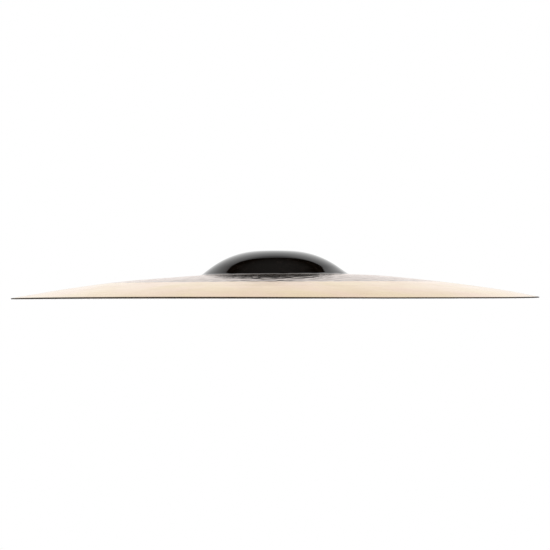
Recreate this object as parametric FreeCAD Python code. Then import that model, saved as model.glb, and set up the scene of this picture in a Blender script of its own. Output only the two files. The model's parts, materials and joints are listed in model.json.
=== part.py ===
import FreeCAD, Part
import math
import os

# An 18 inch crash cymbal: one bronze plate, made here as its four named zones, each with its own finish.
# Millimetres and degrees. The Z axis is the axis of the mounting hole, with the dome up.
# z = 0 is the plane that the rim rests on.
# Slopes are measured down from the horizontal, going outwards from the axis.

# The plate
RIM_RADIUS = 457.2 / 2
OVERALL_HEIGHT = 42.1
BELL_THICKNESS = 1.2
EDGE_THICKNESS = 0.95

# The bell, from the hole outwards
HOLE_RADIUS = 6.0
LAND_RADIUS = 10.0
CROWN_ARC_RADIUS = 85.0
CROWN_OUTER_RADIUS = 20.0
SHOULDER_ARC_RADIUS = 75.0
FLANK_SLOPE = 36.0

# The crease between the bell and the bow
CREASE_ARC_RADIUS = 9.0
BOW_INNER_RADIUS = 67.5
BOW_INNER_SLOPE = 2.5

# Where one zone ends and the next begins. The bell and the inner bow are raw and dark.
# The outer bow is lathed bright, and the edge carries the turned rim.
BELL_ZONE_RADIUS = 65.0
INNER_BOW_ZONE_RADIUS = 145.0
OUTER_BOW_ZONE_RADIUS = 224.0


def on_arc(centre, radius, slope):
    """The point of an arc where a dome's surface has this slope. A negative radius is a hollow."""
    angle = math.radians(slope)
    return (centre[0] + radius * math.sin(angle), centre[1] + radius * math.cos(angle))


def centre_of(point, radius, slope):
    """The centre of an arc that passes through point with this slope."""
    angle = math.radians(slope)
    return (point[0] - radius * math.sin(angle), point[1] - radius * math.cos(angle))


def vector(point):
    return FreeCAD.Vector(point[0], 0, point[1])


def line(start, end):
    return Part.LineSegment(vector(start), vector(end)).toShape()


def arc(start, middle, end):
    return Part.Arc(vector(start), vector(middle), vector(end)).toShape()


def arc_between(centre, radius, first_slope, last_slope):
    return arc(
        on_arc(centre, radius, first_slope),
        on_arc(centre, radius, (first_slope + last_slope) / 2),
        on_arc(centre, radius, last_slope),
    )


def bell_side(depth):
    """The bell's edges at this depth below its outer surface, and the point where the bow begins."""
    crown_slope = math.degrees(math.asin((CROWN_OUTER_RADIUS - LAND_RADIUS) / CROWN_ARC_RADIUS))
    crown_centre = (LAND_RADIUS, OVERALL_HEIGHT - CROWN_ARC_RADIUS)
    crown_end = on_arc(crown_centre, CROWN_ARC_RADIUS, crown_slope)
    shoulder_centre = centre_of(crown_end, SHOULDER_ARC_RADIUS, crown_slope)
    shoulder_end = on_arc(shoulder_centre, SHOULDER_ARC_RADIUS, FLANK_SLOPE)

    # The crease is hollow, so its centre is above the surface.
    slope_change = math.sin(math.radians(FLANK_SLOPE)) - math.sin(math.radians(BOW_INNER_SLOPE))
    flank_end_radius = BOW_INNER_RADIUS - CREASE_ARC_RADIUS * slope_change
    flank_drop = (flank_end_radius - shoulder_end[0]) * math.tan(math.radians(FLANK_SLOPE))
    flank_end = (flank_end_radius, shoulder_end[1] - flank_drop)
    crease_centre = centre_of(flank_end, -CREASE_ARC_RADIUS, FLANK_SLOPE)

    crown = CROWN_ARC_RADIUS - depth
    shoulder = SHOULDER_ARC_RADIUS - depth
    crease = -CREASE_ARC_RADIUS - depth
    edges = [
        line((HOLE_RADIUS, OVERALL_HEIGHT - depth), (LAND_RADIUS, OVERALL_HEIGHT - depth)),
        arc_between(crown_centre, crown, 0, crown_slope),
        arc_between(shoulder_centre, shoulder, crown_slope, FLANK_SLOPE),
        line(on_arc(shoulder_centre, shoulder, FLANK_SLOPE), on_arc(crease_centre, crease, FLANK_SLOPE)),
        arc_between(crease_centre, crease, FLANK_SLOPE, BOW_INNER_SLOPE),
    ]
    return edges, on_arc(crease_centre, crease, BOW_INNER_SLOPE)


def rim_slope(start, end):
    """The slope at the end of the arc that leaves start with the bow's inner slope."""
    chord_slope = math.degrees(math.atan2(start[1] - end[1], end[0] - start[0]))
    return 2 * chord_slope - BOW_INNER_SLOPE


def bow_side(start, end):
    """The bow's arc from the crease to the rim, tangent to the crease."""
    last_slope = rim_slope(start, end)
    sines = math.sin(math.radians(last_slope)) - math.sin(math.radians(BOW_INNER_SLOPE))
    radius = (end[0] - start[0]) / sines
    centre = centre_of(start, radius, BOW_INNER_SLOPE)
    return arc_between(centre, radius, BOW_INNER_SLOPE, last_slope)


def plate():
    """The whole plate: its half section turned about the axis of the hole."""
    outer_bell, outer_start = bell_side(0)
    inner_bell, inner_start = bell_side(BELL_THICKNESS)

    # The rim is a full round. Its lowest point is at z = 0.
    nose_radius = EDGE_THICKNESS / 2
    nose_centre = (RIM_RADIUS - nose_radius, nose_radius)
    nose_slope = rim_slope(outer_start, (RIM_RADIUS, nose_radius))
    outer_end = on_arc(nose_centre, nose_radius, nose_slope)
    inner_end = on_arc(nose_centre, -nose_radius, nose_slope)

    hole_top = (HOLE_RADIUS, OVERALL_HEIGHT)
    hole_bottom = (HOLE_RADIUS, OVERALL_HEIGHT - BELL_THICKNESS)
    edges = outer_bell + inner_bell
    edges.append(bow_side(outer_start, outer_end))
    edges.append(bow_side(inner_start, inner_end))
    edges.append(arc(outer_end, on_arc(nose_centre, nose_radius, 90 + nose_slope), inner_end))
    edges.append(line(hole_top, hole_bottom))
    section = Part.Face(Part.Wire(Part.__sortEdges__(edges)))
    return section.revolve(FreeCAD.Vector(0, 0, 0), FreeCAD.Vector(0, 0, 1), 360)


def zone(solid, inner, outer):
    """The part of solid between two radii."""
    margin = 1.0
    low = FreeCAD.Vector(0, 0, -margin)
    height = OVERALL_HEIGHT + 2 * margin
    ring = Part.makeCylinder(outer, height, low)
    if inner > 0:
        ring = ring.cut(Part.makeCylinder(inner, height, low))
    return solid.common(ring)


cymbal = plate()
beyond_rim = RIM_RADIUS + 5
zones = {
    "bell": zone(cymbal, 0, BELL_ZONE_RADIUS),
    "inner_bow": zone(cymbal, BELL_ZONE_RADIUS, INNER_BOW_ZONE_RADIUS),
    "outer_bow": zone(cymbal, INNER_BOW_ZONE_RADIUS, OUTER_BOW_ZONE_RADIUS),
    "edge": zone(cymbal, OUTER_BOW_ZONE_RADIUS, beyond_rim),
}

os.makedirs("parts", exist_ok=True)
for node, shape in zones.items():
    solid = shape.Solids[0]
    solid.exportStep("parts/" + node + ".step")
    box = solid.BoundBox
    print(node, "valid", solid.isValid(), "solids", len(shape.Solids), "mm3", round(solid.Volume))
    print("   z", round(box.ZMin, 4), round(box.ZMax, 4), "x", round(box.XMin, 3), round(box.XMax, 3))
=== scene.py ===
import json
import math

import bpy
import mathutils
import numpy as np
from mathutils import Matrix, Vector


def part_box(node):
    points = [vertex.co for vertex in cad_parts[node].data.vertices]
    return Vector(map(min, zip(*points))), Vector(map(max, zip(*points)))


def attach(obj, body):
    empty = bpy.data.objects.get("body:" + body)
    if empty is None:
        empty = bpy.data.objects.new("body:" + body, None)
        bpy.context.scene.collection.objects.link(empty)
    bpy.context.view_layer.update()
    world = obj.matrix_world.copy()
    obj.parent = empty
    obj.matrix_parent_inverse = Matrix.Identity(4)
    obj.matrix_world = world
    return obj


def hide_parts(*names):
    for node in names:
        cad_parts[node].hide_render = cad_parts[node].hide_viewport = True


# A two-tone crash cymbal: a dark raw bell and inner bow, a bright lathed outer bow, and a turned rim.
# Metres, +Z up along the axis of the hole, and z = 0 is the plane that the rim rests on.
# "Sine" is the sine of the surface's slope, downwards going out. Along an arc it is linear in the radius.

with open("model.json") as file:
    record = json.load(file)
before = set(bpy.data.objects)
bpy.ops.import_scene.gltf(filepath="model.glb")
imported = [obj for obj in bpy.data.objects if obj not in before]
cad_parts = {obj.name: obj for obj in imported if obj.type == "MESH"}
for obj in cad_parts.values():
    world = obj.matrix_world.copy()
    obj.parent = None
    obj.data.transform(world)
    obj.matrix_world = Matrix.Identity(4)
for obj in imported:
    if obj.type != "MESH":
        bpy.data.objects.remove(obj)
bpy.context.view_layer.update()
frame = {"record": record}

MM = 0.001
SEED = 20

# Sizes that the frame gives
MOUNTS = {mount["name"]: mount for mount in frame["record"]["mounts"]}
HOLE_RADIUS = MOUNTS["centre_hole"]["dims"]["r_mm"] * MM
BELL_THICKNESS = MOUNTS["centre_hole"]["dims"]["length_mm"] * MM
OVERALL_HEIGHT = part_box("bell")[1][2]
BELL_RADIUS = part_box("bell")[1][0]
INNER_BOW_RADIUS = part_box("inner_bow")[1][0]
OUTER_BOW_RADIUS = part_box("outer_bow")[1][0]
RIM_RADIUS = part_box("edge")[1][0]

# The section's own sizes, as the CAD model has them
EDGE_THICKNESS = 0.95 * MM
LAND_RADIUS = 10 * MM
CROWN_OUTER_RADIUS = 20 * MM
CROWN_ARC_RADIUS = 85 * MM
SHOULDER_ARC_RADIUS = 75 * MM
FLANK_SINE = math.sin(math.radians(36))
CREASE_ARC_RADIUS = 9 * MM
CREASE_OUTER_RADIUS = 67.5 * MM
CREASE_OUTER_SLOPE = math.radians(2.5)

# How finely the mesh is cut. The rows are closer from just inside the crease to its outer radius.
SEGMENTS = 720
TOP_STEP = 1.2 * MM
CREASE_STEP = 0.5 * MM
CREASE_INNER_RADIUS = 60 * MM
UNDER_STEP = 2.2 * MM
HOLE_ROWS = 5
HOLE_EASE = 0.2 * MM
NOSE_ROWS = 10
ZONE_SLACK = 0.001 * MM

# The lathe cuts the outer bow down by a small step, and leaves faint bands on it.
LATHE_CUT = 0.06 * MM
LATHE_STEP_WIDTH = 0.5 * MM
LATHE_BAND = 4.9 * MM
LATHE_BAND_DEPTH = 0.010 * MM

# The dull band at the rim, measured inwards. Its dark brown is a painted reflection of dark surroundings; the
# turned bronze itself is not dark.
RIM_BAND = 1.7 * MM

# Rings of hammer blows, in mm: where the rings start and end, the gap between rings and between blows,
# then a blow's radius, its depth and how far it strays.
HAMMERING = [
    (70, 110, 9.5, 12, 6.4, 0.27, 2.5),
    (110, 145, 10.5, 14, 7.5, 0.25, 2.5),
    (158, 216, 14, 22, 13, 0.16, 3),
]
DENT_LEFT_UNDERNEATH = 0.55
DENT_LEFT_BY_LATHE = 0.3

# The plate is slightly uneven. Four radii say where a lean starts, is full, starts to fade and ends.
RIM_LIFT = 0.34 * MM
RIM_LIFT_START = 140 * MM
RIM_WAVES = [(2, 0.175 * MM, math.radians(2)), (3, 0.285 * MM, math.radians(67))]
BOW_LEAN = 0.36 * MM
BOW_LEAN_RADII = (68 * MM, 95 * MM, 205 * MM, RIM_RADIUS)
FOOT_LEAN = 0.72 * MM
FOOT_LEAN_RADII = (56 * MM, 70 * MM, 80 * MM, 140 * MM)
FOOT_TOWARDS = math.radians(-50)

# The camera and the floor
CAMERA_DISTANCE = 2.2
CAMERA_HEIGHT = 0.0001
CAMERA_ROLL = math.radians(-0.12)
FRAME_WIDTH = 0.4784
HORIZON_DROP = 0.0434
FLOOR_RADIUS = 1.3

# The light that isn't mirrored
LIGHT_STRENGTH = 1.9
LIGHT_SPREAD = math.radians(70)
LIGHT_TILT = math.radians(12)

# What the metal mirrors. z is a direction's height, and its slant is how far it points to the right.
# The walls and the ceiling reach this far sideways for each unit forward, and soft boxes have the rest.
WALL_REACH = 0.8
CEILING_EDGE = 0.746
CEILING_BLUR = 0.004
CEILING_SAG = 0.086
CEILING_SAG_SLANTS = (0.04, 0.38)
CEILING_TILT = 0.045
CEILING_GLOW = 0.6
CEILING_GLOW_START = 0.76
WALL_DIMMING = 1.2
WALL_LIGHT = [
    (0.20, 1.09),
    (0.32, 1.01),
    (0.40, 0.96),
    (0.46, 0.92),
    (0.52, 0.84),
    (0.56, 0.76),
    (0.61, 0.71),
    (0.65, 0.595),
    (0.69, 0.375),
    (0.74, 0.22),
]
BOX_LIGHT = 0.92
BOX_FADE = 0.25
BOX_SIDE_BLEND = (-0.05, 0.07)
BOX_OVERHEAD_BLEND = (0.962, 0.99)

# Colours of the metal
BRONZE_YELLOW = (0.80, 0.58, 0.235)
BRONZE_PINK = (0.83, 0.54, 0.335)
BRONZE_DULL = (0.75, 0.515, 0.275)
BELL_BLACK = (0.0015, 0.0009, 0.0004)
BELL_BROWN = (0.006, 0.004, 0.003)
BOW_BLACK = (0.018, 0.014, 0.010)
BOW_BROWN = (0.046, 0.033, 0.025)
BOW_HAZE_TINT = (1.0, 0.60, 0.35)
NO_TINT = (1.0, 1.0, 1.0)
# The rim's two browns are painted reflection: they stand in for the dark surroundings that the bright turned
# bronze mirrors at its rim.
RIM_PAINTED_REFLECTION_BROWN = (0.040, 0.026, 0.016)
RIM_PAINTED_REFLECTION_DARK = (0.026, 0.018, 0.012)


# ---------------------------------------------------------------- the section


def arc_drop(radius, sine, radius_end, sine_end):
    """How far the surface falls along an arc between two radii."""
    turned = np.abs(sine_end - sine) > 1e-9
    arc_radius = (radius_end - radius) / np.where(turned, sine_end - sine, 1)
    curved = arc_radius * (np.sqrt(1 - sine**2) - np.sqrt(1 - sine_end**2))
    straight = (radius_end - radius) * sine / np.sqrt(1 - sine**2)
    return np.where(turned, curved, straight)


def section_knots():
    """The radii and sines at which one arc or line of the section gives way to the next."""
    crown_sine = (CROWN_OUTER_RADIUS - LAND_RADIUS) / CROWN_ARC_RADIUS
    crease_sine = math.sin(CREASE_OUTER_SLOPE)
    shoulder_end = CROWN_OUTER_RADIUS + SHOULDER_ARC_RADIUS * (FLANK_SINE - crown_sine)
    flank_end = CREASE_OUTER_RADIUS - CREASE_ARC_RADIUS * (FLANK_SINE - crease_sine)
    stops = [0, LAND_RADIUS, CROWN_OUTER_RADIUS, shoulder_end, flank_end, CREASE_OUTER_RADIUS, RIM_RADIUS]
    radii = np.array(stops)
    sines = np.array([0, 0, crown_sine, FLANK_SINE, FLANK_SINE, crease_sine, 0])
    fallen = arc_drop(radii[:-2], sines[:-2], radii[1:-1], sines[1:-1]).sum()
    bow_height = OVERALL_HEIGHT - fallen
    chord = math.atan2(bow_height - EDGE_THICKNESS, RIM_RADIUS - CREASE_OUTER_RADIUS)
    sines[-1] = math.sin(2 * chord - CREASE_OUTER_SLOPE)
    return radii, sines


KNOT_RADII, KNOT_SINES = section_knots()
KNOT_DROPS = np.concatenate(
    [[0], np.cumsum(arc_drop(KNOT_RADII[:-1], KNOT_SINES[:-1], KNOT_RADII[1:], KNOT_SINES[1:]))]
)


def sine_at(radius):
    return np.interp(radius, KNOT_RADII, KNOT_SINES)


def height_at(radius):
    """The height of the smooth outer surface."""
    k = np.clip(np.searchsorted(KNOT_RADII, radius, side="right") - 1, 0, len(KNOT_RADII) - 2)
    return OVERALL_HEIGHT - KNOT_DROPS[k] - arc_drop(KNOT_RADII[k], KNOT_SINES[k], radius, sine_at(radius))


def thickness_at(radius):
    return np.interp(radius, [CREASE_OUTER_RADIUS, RIM_RADIUS], [BELL_THICKNESS, EDGE_THICKNESS])


# ---------------------------------------------------------------- hammering, lathing and warp


def smooth_step(value, low, high):
    """0 up to low, 1 from high on, and a smooth rise between them."""
    t = np.clip((value - low) / (high - low), 0, 1)
    return t * t * (3 - 2 * t)


def plateau(value, start, full, fading, end):
    """1 between full and fading, and 0 before start and after end."""
    return smooth_step(value, start, full) * (1 - smooth_step(value, fading, end))


def hammer_blows():
    """Every blow of the hammer: x, y, radius and depth of its dent."""
    rng = np.random.default_rng(SEED)
    blows = []
    for rings in HAMMERING:
        first, last, ring_gap, blow_gap, size, depth, stray = (value * MM for value in rings)
        for ring in np.arange(first, last, ring_gap):
            count = round(2 * math.pi * ring / blow_gap)
            start = rng.uniform(0, 2 * math.pi)
            for i in range(count):
                angle = start + 2 * math.pi * i / count + rng.normal(0, stray) / ring
                radius = ring + rng.normal(0, stray)
                x = radius * math.cos(angle)
                y = radius * math.sin(angle)
                blows.append((x, y, size * rng.uniform(0.75, 1.5), depth * rng.uniform(0.55, 1.1)))
    return blows


def dents(x, y):
    """How deep the hammer has sunk each point."""
    depth = np.zeros_like(x)
    for blow_x, blow_y, size, blow_depth in hammer_blows():
        near = np.clip(1 - ((x - blow_x) ** 2 + (y - blow_y) ** 2) / size**2, 0, None)
        depth = np.maximum(depth, blow_depth * near**2)
    return depth


def lathed(radius):
    """0 on the raw zones and 1 on the lathed ones."""
    return smooth_step(radius, INNER_BOW_RADIUS - LATHE_STEP_WIDTH, INNER_BOW_RADIUS + LATHE_STEP_WIDTH)


def lathing(radius):
    """How deep the lathe has cut the outer bow, with the faint bands that its tool leaves."""
    band_start = INNER_BOW_RADIUS + LATHE_BAND
    band_end = OUTER_BOW_RADIUS - LATHE_BAND
    fade = plateau(radius, INNER_BOW_RADIUS, band_start, band_end, OUTER_BOW_RADIUS)
    wander = 0.6 * np.sin(radius / (17 * MM)) + 0.4 * np.sin(radius / (7.3 * MM) + 1)
    bands = LATHE_BAND_DEPTH * (0.5 + 0.5 * np.cos(2 * math.pi * radius / LATHE_BAND + wander))
    return LATHE_CUT * lathed(radius) + bands * fade


def warp(radius, angle):
    """The slight unevenness of a hammered plate: a wavy rim, a leaning bow and a leaning foot of the bell."""
    wave = sum(depth * np.sin(turns * angle + start) for turns, depth, start in RIM_WAVES)
    rim = smooth_step(radius, RIM_LIFT_START, RIM_RADIUS) * np.maximum(RIM_LIFT + wave, 0)
    bow = BOW_LEAN * plateau(radius, *BOW_LEAN_RADII) * np.cos(angle)
    foot = FOOT_LEAN * plateau(radius, *FOOT_LEAN_RADII) * np.cos(angle - FOOT_TOWARDS)
    return rim + bow + foot


# ---------------------------------------------------------------- the surface as one closed loop of rows


def spaced(start, end, step):
    return np.linspace(start, end, max(2, round(abs(end - start) / step) + 1))


def radii_between(stops, steps):
    """The radii of the rows: each stretch from one stop to the next has its own spacing."""
    stretches = [spaced(*stretch) for stretch in zip(stops, stops[1:], steps)]
    return np.unique(np.round(np.concatenate(stretches), 7))


def section_rows():
    """Every row of the loop, from the hole's wall out over the top, round the rim and back underneath.

    A row has its radius and height, the radius whose slope and marks it takes, 1 on top or 0 underneath,
    and the radius that says which zone it is in.
    """
    nose_radius = EDGE_THICKNESS / 2
    rim_sine = KNOT_SINES[-1]
    nose_start = RIM_RADIUS - nose_radius * (1 - rim_sine)
    hole_edge = HOLE_RADIUS + HOLE_EASE
    step_row = LATHE_STEP_WIDTH / 2
    step_start = INNER_BOW_RADIUS - 3 * LATHE_STEP_WIDTH
    step_end = INNER_BOW_RADIUS + 3 * LATHE_STEP_WIDTH
    bell_stops = [hole_edge, LAND_RADIUS, CREASE_INNER_RADIUS, BELL_RADIUS, CREASE_OUTER_RADIUS]
    bell_steps = [TOP_STEP, TOP_STEP, CREASE_STEP, CREASE_STEP]
    bow_stops = [step_start, INNER_BOW_RADIUS, step_end, OUTER_BOW_RADIUS, nose_start]
    bow_steps = [TOP_STEP, step_row, step_row, TOP_STEP, TOP_STEP / 2]
    under_stops = [hole_edge, LAND_RADIUS, BELL_RADIUS, INNER_BOW_RADIUS, OUTER_BOW_RADIUS, nose_start]
    under_steps = [UNDER_STEP, UNDER_STEP, UNDER_STEP, UNDER_STEP, UNDER_STEP / 2]
    hole_angles = np.linspace(0, math.pi / 2, HOLE_ROWS)
    rows = []

    for angle in hole_angles[:-1]:
        radius = HOLE_RADIUS + HOLE_EASE * (1 - math.cos(angle))
        height = OVERALL_HEIGHT - HOLE_EASE * (1 - math.sin(angle))
        rows.append((radius, height, HOLE_RADIUS, 1, radius))
    for radius in radii_between(bell_stops + bow_stops, bell_steps + bow_steps):
        rows.append((radius, float(height_at(radius)), radius, 1, radius))
    centre_radius = nose_start - nose_radius * rim_sine
    centre_height = float(height_at(nose_start)) - nose_radius * math.sqrt(1 - rim_sine**2)
    for turn in np.linspace(0, math.pi, NOSE_ROWS + 2)[1:-1]:
        angle = math.asin(rim_sine) + turn
        radius = centre_radius + nose_radius * math.sin(angle)
        height = centre_height + nose_radius * math.cos(angle)
        rows.append((radius, height, nose_start, 1 - turn / math.pi, RIM_RADIUS))
    for radius in radii_between(under_stops, under_steps)[::-1]:
        sine = float(sine_at(radius))
        depth = float(thickness_at(radius))
        height = float(height_at(radius)) - depth * math.sqrt(1 - sine**2)
        rows.append((radius - depth * sine, height, radius, 0, radius))
    for angle in hole_angles[-2::-1]:
        radius = HOLE_RADIUS + HOLE_EASE * (1 - math.cos(angle))
        height = OVERALL_HEIGHT - BELL_THICKNESS + HOLE_EASE * (1 - math.sin(angle))
        rows.append((radius, height, HOLE_RADIUS, 0, radius))
    return np.array(rows)


def surface():
    """Points and normals of the whole skin, by row and segment, and each row's zone radius."""
    rows = section_rows()
    radius, height, sample, side, zone_radius = (column[:, None] for column in rows.T)
    angle = np.linspace(0, 2 * math.pi, SEGMENTS, endpoint=False)[None, :]
    sine = sine_at(sample)
    cosine = np.sqrt(1 - sine**2)
    sunk = dents(sample * np.cos(angle), sample * np.sin(angle))
    sunk *= DENT_LEFT_UNDERNEATH + (1 - DENT_LEFT_UNDERNEATH) * side
    sunk *= smooth_step(sample, CREASE_INNER_RADIUS, CREASE_OUTER_RADIUS)
    sunk *= 1 - (1 - DENT_LEFT_BY_LATHE) * lathed(sample)
    turned_side = np.where(side == 1, 1, np.where(side == 0, -1, 0))
    worked = warp(sample, angle) - sunk - lathing(sample) * turned_side
    out = radius + worked * sine
    points = np.stack([out * np.cos(angle), out * np.sin(angle), height + worked * cosine], axis=2)
    along = np.roll(points, -1, axis=0) - np.roll(points, 1, axis=0)
    around = np.roll(points, -1, axis=1) - np.roll(points, 1, axis=1)
    normals = np.cross(along, around)
    normals /= np.linalg.norm(normals, axis=2, keepdims=True)
    return points, normals, zone_radius[:, 0]


POINTS, NORMALS, ZONE_RADII = surface()


def loop_faces(rows):
    """The quads between each row and the next, round a closed loop of rows."""
    row, segment = np.meshgrid(np.arange(rows), np.arange(SEGMENTS), indexing="ij")
    next_row = (row + 1) % rows
    next_segment = (segment + 1) % SEGMENTS
    corners = [(row, segment), (next_row, segment), (next_row, next_segment), (row, next_segment)]
    return np.stack([r * SEGMENTS + s for r, s in corners], axis=2).reshape(-1, 4)


def wall_normals(vertices, walls):
    """Level normals, in or out as each face is turned, for the walls where a zone was cut from the next."""
    first, second, third, fourth = (vertices[walls[:, corner]] for corner in range(4))
    middle = (first + second + third + fourth) / 4
    outwards = middle * (1, 1, 0) / np.linalg.norm(middle[:, :2], axis=1, keepdims=True)
    face_normal = np.cross(second - first, fourth - first)
    return outwards * np.sign((face_normal * outwards).sum(axis=1, keepdims=True))


def zone_piece(name, node, inner, outer, skin_material, painted_reflection_band_material):
    """One zone of the cymbal as a closed ring, with smooth skin and flat walls where it was cut."""
    loop = np.flatnonzero((ZONE_RADII >= inner - ZONE_SLACK) & (ZONE_RADII <= outer + ZONE_SLACK))
    vertices = POINTS[loop].reshape(-1, 3)
    faces = loop_faces(len(loop))
    corner_normals = NORMALS[loop].reshape(-1, 3)[faces]
    is_wall = np.repeat((np.roll(loop, -1) - loop) % len(ZONE_RADII) != 1, SEGMENTS)
    corner_normals[is_wall] = wall_normals(vertices, faces[is_wall])[:, None, :]
    mesh = bpy.data.meshes.new(name)
    mesh.from_pydata(vertices.tolist(), [], faces.tolist())
    mesh.polygons.foreach_set("use_smooth", np.ones(len(faces), dtype=bool))
    mesh.normals_split_custom_set(corner_normals.reshape(-1, 3).tolist())
    mesh.materials.append(skin_material)
    # Faces on the rim band get the rim material, whose dark brown is painted reflection.
    on_band = ZONE_RADII[loop] > RIM_RADIUS - RIM_BAND
    if on_band.any():
        mesh.materials.append(painted_reflection_band_material)
        band_faces = np.repeat(on_band & np.roll(on_band, -1), SEGMENTS)
        mesh.polygons.foreach_set("material_index", band_faces.astype(np.int32))
    mesh.update()
    piece = bpy.data.objects.new(name, mesh)
    bpy.context.scene.collection.objects.link(piece)
    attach(piece, "root")
    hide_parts(node)


# ---------------------------------------------------------------- materials


class Nodes:
    """A short way to write a node tree."""

    def __init__(self, tree):
        self.tree = tree

    def add(self, kind, **values):
        node = self.tree.nodes.new(kind)
        for key, value in values.items():
            setattr(node, key, value)
        return node

    def feed(self, socket, value):
        """Link another node's output to a socket, or set its value. A colour comes without its alpha."""
        if isinstance(value, bpy.types.NodeSocket):
            self.tree.links.new(value, socket)
        elif hasattr(socket.default_value, "__len__") and len(socket.default_value) == 4:
            socket.default_value = (*value, 1)
        else:
            socket.default_value = value

    def math(self, operation, *values):
        node = self.add("ShaderNodeMath", operation=operation)
        for socket, value in zip(node.inputs, values):
            self.feed(socket, value)
        return node.outputs[0]

    def spread(self, value, low, high, to_low=0, to_high=1):
        """Carry a value from one range to another, smoothly at both ends."""
        node = self.add("ShaderNodeMapRange", interpolation_type="SMOOTHSTEP")
        self.feed(node.inputs["Value"], value)
        self.feed(node.inputs["From Min"], low)
        self.feed(node.inputs["From Max"], high)
        self.feed(node.inputs["To Min"], to_low)
        self.feed(node.inputs["To Max"], to_high)
        return node.outputs["Result"]

    def between(self, factor, first, second):
        """The first number where factor is 0, and the second where it is 1."""
        kept = self.math("MULTIPLY", first, self.math("SUBTRACT", 1.0, factor))
        return self.math("ADD", kept, self.math("MULTIPLY", second, factor))


class Skin(Nodes):
    """The node tree of one material, laid out in the object's own frame."""

    def __init__(self, name):
        self.material = bpy.data.materials.new(name)
        self.material.use_nodes = True
        super().__init__(self.material.node_tree)
        self.shader = next(n for n in self.tree.nodes if n.type == "BSDF_PRINCIPLED")
        self.place = self.add("ShaderNodeTexCoord").outputs["Object"]

    def radius(self):
        """The distance from the axis."""
        flat = self.add("ShaderNodeVectorMath", operation="MULTIPLY")
        self.feed(flat.inputs[0], self.place)
        self.feed(flat.inputs[1], (1, 1, 0))
        length = self.add("ShaderNodeVectorMath", operation="LENGTH")
        self.feed(length.inputs[0], flat.outputs[0])
        return length.outputs["Value"]

    def noise(self, size, detail=2.0, roughness=0.5, offset=(0, 0, 0)):
        shifted = self.add("ShaderNodeVectorMath", operation="ADD")
        self.feed(shifted.inputs[0], self.place)
        self.feed(shifted.inputs[1], offset)
        node = self.add("ShaderNodeTexNoise")
        self.feed(node.inputs["Vector"], shifted.outputs[0])
        self.feed(node.inputs["Scale"], 1 / size)
        self.feed(node.inputs["Detail"], detail)
        self.feed(node.inputs["Roughness"], roughness)
        return node.outputs["Fac"]

    def ring_noise(self, pitch, detail=3.0, roughness=0.6, shift=0.0):
        """Noise that depends only on the radius, as lathe marks do."""
        node = self.add("ShaderNodeTexNoise", noise_dimensions="1D")
        self.feed(node.inputs["W"], self.math("ADD", self.radius(), shift))
        self.feed(node.inputs["Scale"], 1 / pitch)
        self.feed(node.inputs["Detail"], detail)
        self.feed(node.inputs["Roughness"], roughness)
        return node.outputs["Fac"]

    def mix(self, factor, first, second):
        """The first colour where factor is 0, and the second where it is 1."""
        node = self.add("ShaderNodeMix", data_type="RGBA")
        self.feed(node.inputs["Factor"], factor)
        self.feed(node.inputs[6], first)
        self.feed(node.inputs[7], second)
        return node.outputs[2]

    def bump(self, height, distance):
        node = self.add("ShaderNodeBump")
        self.feed(node.inputs["Strength"], 1.0)
        self.feed(node.inputs["Height"], height)
        self.feed(node.inputs["Distance"], distance)
        return node.outputs["Normal"]

    def set(self, **values):
        """Feed the shader's sockets, named with _ for a space."""
        for key, value in values.items():
            self.feed(self.shader.inputs[key.replace("_", " ")], value)


def raw_material(name, black, brown, gloss, dulling, haze, haze_tint):
    """Unlathed bronze under a dark glossy oxide skin with some haze on it, and bare metal in the hole."""
    m = Skin(name)
    cloud = m.spread(m.noise(38 * MM, 3), 0.35, 0.7)
    mottle = m.spread(m.noise(5 * MM, 4, 0.6, (0.3, 0.1, 0)), 0.42, 0.72)
    skin = m.mix(m.math("MULTIPLY_ADD", cloud, mottle, 0.15), black, brown)
    bare = m.spread(m.radius(), HOLE_RADIUS + 0.5 * HOLE_EASE, HOLE_RADIUS + 1.4 * HOLE_EASE, 1, 0)
    smear = m.noise(26 * MM, 3, 0.6, (0, 0.2, 0.1))
    rough = m.spread(smear, 0.3, 0.75, gloss, dulling)
    grain = m.noise(1.4 * MM, 3, 0.6)
    m.set(
        Base_Color=m.mix(bare, skin, BRONZE_DULL),
        Metallic=bare,
        Roughness=m.math("ADD", rough, m.math("MULTIPLY", bare, 0.25)),
        Coat_Weight=haze,
        Coat_Roughness=0.25,
        Coat_Tint=haze_tint,
        Normal=m.bump(grain, 0.006 * MM),
    )
    return m.material


def lathed_material():
    """Bright bronze turned on a lathe, with fine rings in its colour, gloss and relief."""
    m = Skin("lathed_bronze")
    patch = m.spread(m.noise(42 * MM, 2), 0.3, 0.7)
    bronze = m.mix(patch, BRONZE_YELLOW, BRONZE_PINK)
    bands = m.spread(m.ring_noise(5 * MM, 2), 0.35, 0.7, 0, 0.55)
    bronze = m.mix(bands, bronze, BRONZE_DULL)
    lines = m.spread(m.ring_noise(0.9 * MM, 2, 0.6, 0.5), 0.3, 0.75, 0, 0.5)
    bronze = m.mix(lines, bronze, BRONZE_DULL)
    rough = m.spread(m.ring_noise(3.1 * MM, 3, 0.6, 0.2), 0.3, 0.7, 0.12, 0.17)
    smear = m.spread(m.noise(30 * MM, 3, 0.6, (0.1, 0.4, 0)), 0.35, 0.75, 0, 0.04)
    groove = m.ring_noise(0.8 * MM, 3, 0.65, 0.9)
    tangent = m.add("ShaderNodeTangent", direction_type="RADIAL", axis="Z")
    m.set(
        Base_Color=bronze,
        Metallic=1.0,
        Roughness=m.math("ADD", rough, smear),
        Anisotropic=0.5,
        Anisotropic_Rotation=0.25,
        Tangent=tangent.outputs[0],
        Normal=m.bump(groove, 0.004 * MM),
    )
    return m.material


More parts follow.
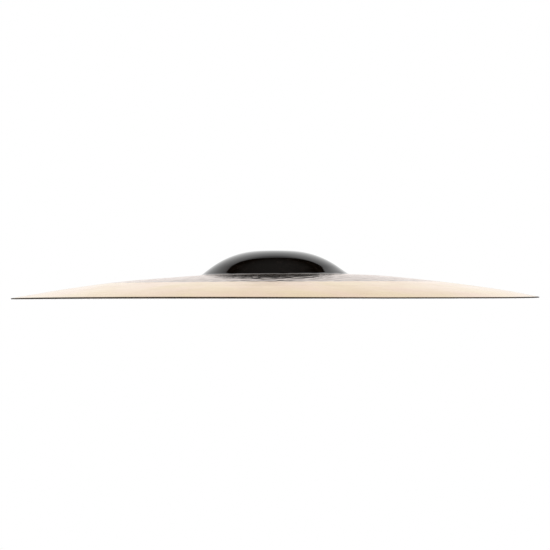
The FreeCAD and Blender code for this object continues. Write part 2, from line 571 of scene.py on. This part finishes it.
def painted_reflection_rim_material():
    """The dull band round the turned rim, painted dark brown as a painted reflection of dark surroundings;
    the bare turned bronze is not dark.
    """
    m = Skin("rim_painted_dark_reflection")
    # Blotches between two browns, both of them painted reflection rather than stains.
    painted_reflection_blotch = m.spread(m.noise(6 * MM, 3), 0.3, 0.7)
    m.set(Base_Color=m.mix(painted_reflection_blotch, RIM_PAINTED_REFLECTION_BROWN, RIM_PAINTED_REFLECTION_DARK), Roughness=0.6, Specular_IOR_Level=0.15)
    return m.material


def floor_material():
    m = Skin("pale_floor")
    tone = m.spread(m.noise(0.4, 2), 0.3, 0.7)
    pale = m.mix(tone, (0.86, 0.86, 0.86), (0.88, 0.88, 0.88))
    m.set(Base_Color=pale, Roughness=0.9, Specular_IOR_Level=0.0)
    return m.material


# ---------------------------------------------------------------- the studio


def wall_light(n, z, side):
    """Pale walls that fade upwards and to both sides."""
    ramp = n.add("ShaderNodeValToRGB")
    n.feed(ramp.inputs[0], z)
    elements = ramp.color_ramp.elements
    while len(elements) < len(WALL_LIGHT):
        elements.new(0.5)
    for element, (position, glow) in zip(elements, WALL_LIGHT):
        element.position = position
        element.color = (glow, glow, glow, 1)
    dim = n.math("SUBTRACT", 1.0, n.math("MULTIPLY", n.math("MULTIPLY", side, side), WALL_DIMMING))
    return n.math("MULTIPLY", ramp.outputs[0], dim)


def ceiling_light(n, z):
    """A dark ceiling that glows a little more overhead."""
    above = n.math("MAXIMUM", n.math("SUBTRACT", z, CEILING_GLOW_START), 0.0)
    return n.math("MULTIPLY", above, CEILING_GLOW)


def ceiling_part(n, z, slant, side):
    """1 where the ceiling is. Its edge sags to both sides, and lies lower to the right."""
    sag = n.math("MULTIPLY", n.spread(side, *CEILING_SAG_SLANTS), CEILING_SAG)
    droop = n.math("ADD", sag, n.math("MULTIPLY", slant, CEILING_TILT))
    return n.spread(n.math("ADD", z, droop), CEILING_EDGE - CEILING_BLUR, CEILING_EDGE + CEILING_BLUR)


def box_light(n, z):
    """Soft boxes that fade a little upwards."""
    return n.math("SUBTRACT", BOX_LIGHT, n.math("MULTIPLY", n.math("MAXIMUM", z, 0.0), BOX_FADE))


def box_part(n, z, side, forward):
    """1 overhead, beside the camera and behind it, where there are only soft boxes."""
    past_walls = n.math("SUBTRACT", side, n.math("MULTIPLY", forward, WALL_REACH))
    return n.math("MAXIMUM", n.spread(past_walls, *BOX_SIDE_BLEND), n.spread(z, *BOX_OVERHEAD_BLEND))


def studio_world():
    """Ahead of the camera, pale walls under a dark ceiling; soft boxes elsewhere; white to the camera."""
    world = bpy.data.worlds.new("studio")
    bpy.context.scene.world = world
    world.use_nodes = True
    n = Nodes(world.node_tree)
    n.tree.nodes.clear()

    split = n.add("ShaderNodeSeparateXYZ")
    n.feed(split.inputs[0], n.add("ShaderNodeTexCoord").outputs["Generated"])
    x, y, z = split.outputs
    level = n.math("SQRT", n.math("SUBTRACT", 1.0, n.math("MULTIPLY", z, z)))
    level = n.math("MAXIMUM", level, 0.001)
    slant = n.math("DIVIDE", x, level)
    forward = n.math("DIVIDE", y, level)
    side = n.math("ABSOLUTE", slant)
    ahead = n.between(ceiling_part(n, z, slant, side), wall_light(n, z, side), ceiling_light(n, z))
    mirrored = n.between(box_part(n, z, side, forward), ahead, box_light(n, z))

    lit = n.add("ShaderNodeBackground")
    n.feed(lit.inputs["Color"], mirrored)
    white = n.add("ShaderNodeBackground")
    n.feed(white.inputs["Color"], (1, 1, 1))
    choose = n.add("ShaderNodeMixShader")
    n.feed(choose.inputs[0], n.add("ShaderNodeLightPath").outputs["Is Camera Ray"])
    n.feed(choose.inputs[1], lit.outputs[0])
    n.feed(choose.inputs[2], white.outputs[0])
    output = n.add("ShaderNodeOutputWorld")
    n.feed(output.inputs["Surface"], choose.outputs[0])


def floor():
    bpy.ops.mesh.primitive_circle_add(vertices=128, radius=FLOOR_RADIUS, fill_type="NGON")
    disc = bpy.context.object
    disc.name = "floor"
    disc.data.materials.append(floor_material())


def soft_light():
    """An even light from above that brightens the floor and isn't mirrored in the metal."""
    lamp = bpy.data.lights.new("soft_light", "SUN")
    lamp.energy = LIGHT_STRENGTH
    lamp.angle = LIGHT_SPREAD
    holder = bpy.data.objects.new("soft_light", lamp)
    holder.rotation_euler = (LIGHT_TILT, 0, 0)
    holder.visible_glossy = False
    bpy.context.scene.collection.objects.link(holder)


def camera():
    """Level with the rim, looking along +Y, tipped up a little so that the rim lies below the middle."""
    data = bpy.data.cameras.new("camera")
    data.sensor_width = 36
    data.lens = data.sensor_width * CAMERA_DISTANCE / FRAME_WIDTH
    data.clip_start = 0.01
    holder = bpy.data.objects.new("camera", data)
    holder.location = (0, -CAMERA_DISTANCE, CAMERA_HEIGHT)
    tip = math.atan2(HORIZON_DROP * FRAME_WIDTH, CAMERA_DISTANCE)
    level = mathutils.Euler((math.pi / 2 + tip, 0, 0)).to_matrix()
    rolled = level @ mathutils.Matrix.Rotation(CAMERA_ROLL, 3, "Z")
    holder.rotation_euler = rolled.to_euler()
    bpy.context.scene.collection.objects.link(holder)
    bpy.context.scene.camera = holder


camera()
studio_world()
floor()
soft_light()

raw_bell = raw_material("raw_bell_bronze", BELL_BLACK, BELL_BROWN, 0.025, 0.04, 0.0, NO_TINT)
raw_bow = raw_material("raw_bow_bronze", BOW_BLACK, BOW_BROWN, 0.05, 0.09, 0.17, BOW_HAZE_TINT)
bright = lathed_material()
# The rim's dark material is a painted reflection of dark surroundings, not the colour of turned bronze.
painted_reflection_rim = painted_reflection_rim_material()
ZONES = [
    ("bell_cup", "bell", 0, BELL_RADIUS, raw_bell),
    ("raw_bow", "inner_bow", BELL_RADIUS, INNER_BOW_RADIUS, raw_bow),
    ("lathed_bow", "outer_bow", INNER_BOW_RADIUS, OUTER_BOW_RADIUS, bright),
    ("turned_edge", "edge", OUTER_BOW_RADIUS, RIM_RADIUS, bright),
]
for name, node, inner, outer, material in ZONES:
    zone_piece(name, node, inner, outer, material, painted_reflection_rim)

bpy.context.scene.view_settings.view_transform = "Standard"
